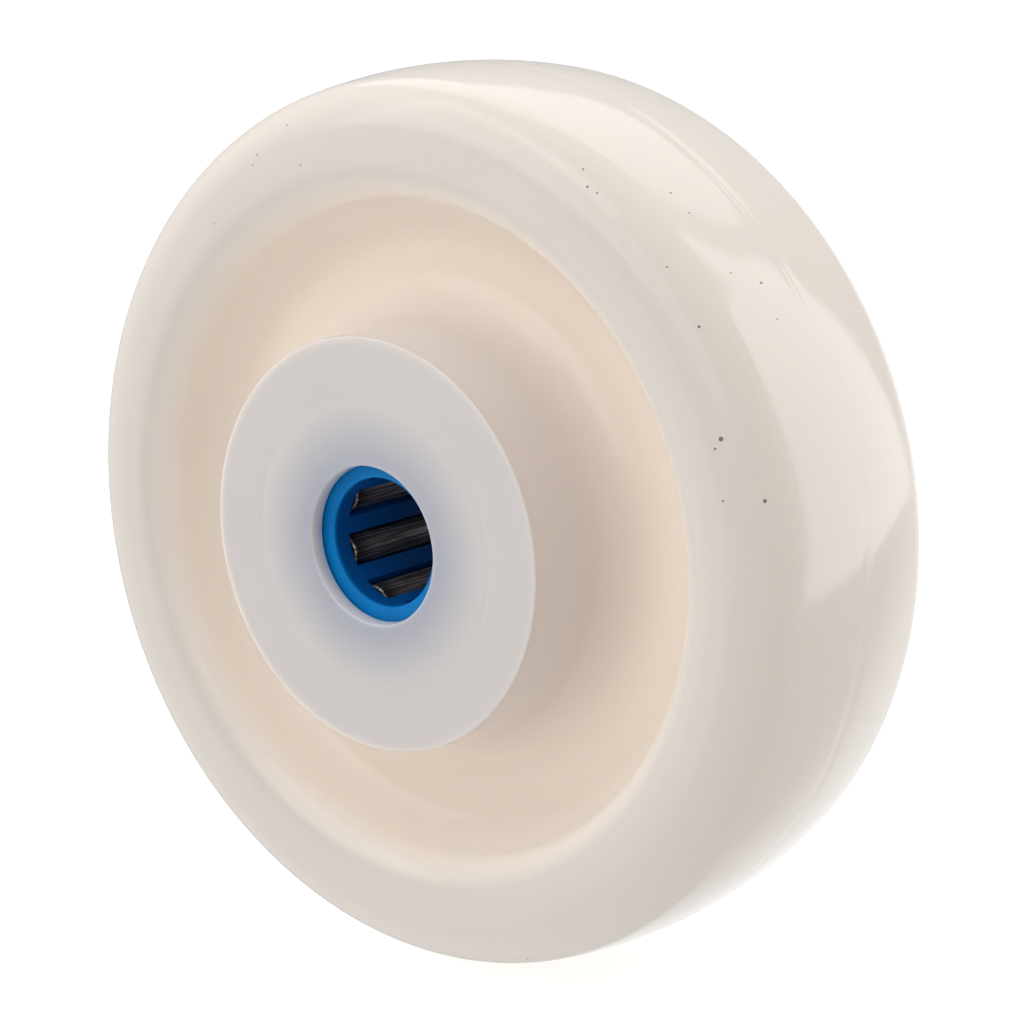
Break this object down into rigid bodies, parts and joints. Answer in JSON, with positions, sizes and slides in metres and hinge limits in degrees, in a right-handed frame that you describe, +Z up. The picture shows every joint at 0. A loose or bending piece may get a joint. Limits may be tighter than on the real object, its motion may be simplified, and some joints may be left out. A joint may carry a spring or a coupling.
{
  "type": "solid castor wheel",
  "caption": "Solid moulded castor wheel with a domed tread, a dished web and a plain hub holding a caged needle roller bearing for an axle.",
  "frame": {"origin": "centre of the wheel, on its axis, half way along the hub", "axes": "+Y along the axis the wheel turns about, +Z up, +X forwards; both sides of the wheel are the same"},
  "size_m": [0.15, 0.0596, 0.15],
  "materials": {
    "nylon": "natural ivory polyamide, as moulded, glossy and slightly translucent",
    "cage_plastic": "blue moulded polyamide, satin",
    "roller_steel": "drawn bearing steel with fine lines along its length, lightly greased"
  },
  "bodies": {
    "wheel": {"wheel_body": "nylon"},
    "cage": {"roller_cage": "cage_plastic"},
    "roller_body_1": {"roller_1": "roller_steel"},
    "roller_body_2": {"roller_2": "roller_steel"},
    "roller_body_3": {"roller_3": "roller_steel"},
    "roller_body_4": {"roller_4": "roller_steel"},
    "roller_body_5": {"roller_5": "roller_steel"},
    "roller_body_6": {"roller_6": "roller_steel"},
    "roller_body_7": {"roller_7": "roller_steel"},
    "roller_body_8": {"roller_8": "roller_steel"}
  },
  "joints": [
    {"name": "cage_spin", "type": "hinge", "parent": "wheel", "child": "cage", "pos_m": [0, 0, 0], "axis": [0, 1, 0], "continuous": true},
    {"name": "roller_spin_1", "type": "hinge", "parent": "cage", "child": "roller_body_1", "pos_m": [0.0124, 0, 0.00451], "axis": [0, 1, 0], "continuous": true},
    {"name": "roller_spin_2", "type": "hinge", "parent": "cage", "child": "roller_body_2", "pos_m": [0.00558, 0, 0.01196], "axis": [0, 1, 0], "continuous": true},
    {"name": "roller_spin_3", "type": "hinge", "parent": "cage", "child": "roller_body_3", "pos_m": [-0.00451, 0, 0.0124], "axis": [0, 1, 0], "continuous": true},
    {"name": "roller_spin_4", "type": "hinge", "parent": "cage", "child": "roller_body_4", "pos_m": [-0.01196, 0, 0.00558], "axis": [0, 1, 0], "continuous": true},
    {"name": "roller_spin_5", "type": "hinge", "parent": "cage", "child": "roller_body_5", "pos_m": [-0.0124, 0, -0.00451], "axis": [0, 1, 0], "continuous": true},
    {"name": "roller_spin_6", "type": "hinge", "parent": "cage", "child": "roller_body_6", "pos_m": [-0.00558, 0, -0.01196], "axis": [0, 1, 0], "continuous": true},
    {"name": "roller_spin_7", "type": "hinge", "parent": "cage", "child": "roller_body_7", "pos_m": [0.00451, 0, -0.0124], "axis": [0, 1, 0], "continuous": true},
    {"name": "roller_spin_8", "type": "hinge", "parent": "cage", "child": "roller_body_8", "pos_m": [0.01196, 0, -0.00558], "axis": [0, 1, 0], "continuous": true}
  ],
  "couplings": [
    {"joint": "roller_spin_1", "follows": "cage_spin", "ratio": -5.45},
    {"joint": "roller_spin_2", "follows": "cage_spin", "ratio": -5.45},
    {"joint": "roller_spin_3", "follows": "cage_spin", "ratio": -5.45},
    {"joint": "roller_spin_4", "follows": "cage_spin", "ratio": -5.45},
    {"joint": "roller_spin_5", "follows": "cage_spin", "ratio": -5.45},
    {"joint": "roller_spin_6", "follows": "cage_spin", "ratio": -5.45},
    {"joint": "roller_spin_7", "follows": "cage_spin", "ratio": -5.45},
    {"joint": "roller_spin_8", "follows": "cage_spin", "ratio": -5.45}
  ]
}
